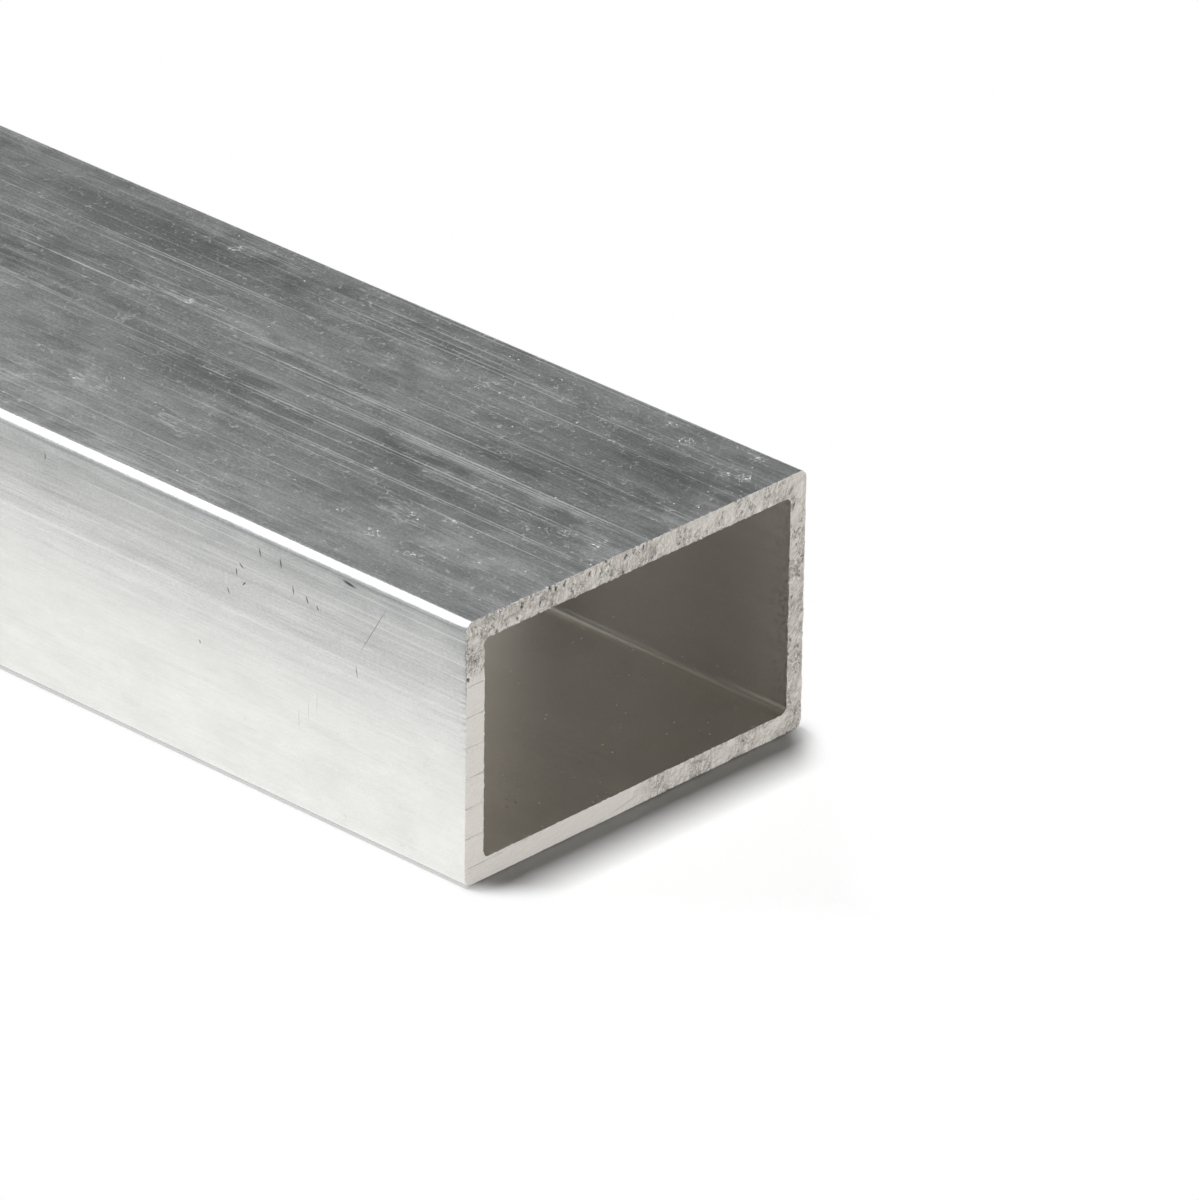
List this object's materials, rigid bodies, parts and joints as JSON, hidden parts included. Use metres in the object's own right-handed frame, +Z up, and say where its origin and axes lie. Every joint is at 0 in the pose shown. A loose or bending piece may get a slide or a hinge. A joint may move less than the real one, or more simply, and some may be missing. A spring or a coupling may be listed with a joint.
{
  "type": "rectangular aluminium tube",
  "caption": "Length of extruded rectangular hollow section in mill-finish aluminium, with small corner radii and ends sawn square.",
  "frame": {"origin": "middle of the wide face that the tube lies on", "axes": "+X along the tube, towards the sawn end that the picture shows; +Y across the wide sides, away from the narrow side that the picture shows; +Z up"},
  "size_m": [1, 0.05, 0.03],
  "materials": {
    "mill_finish_aluminium": "mill finish, with die lines along the length and rough sawn ends"
  },
  "bodies": {
    "root": {"tube": "mill_finish_aluminium"}
  },
  "joints": []
}
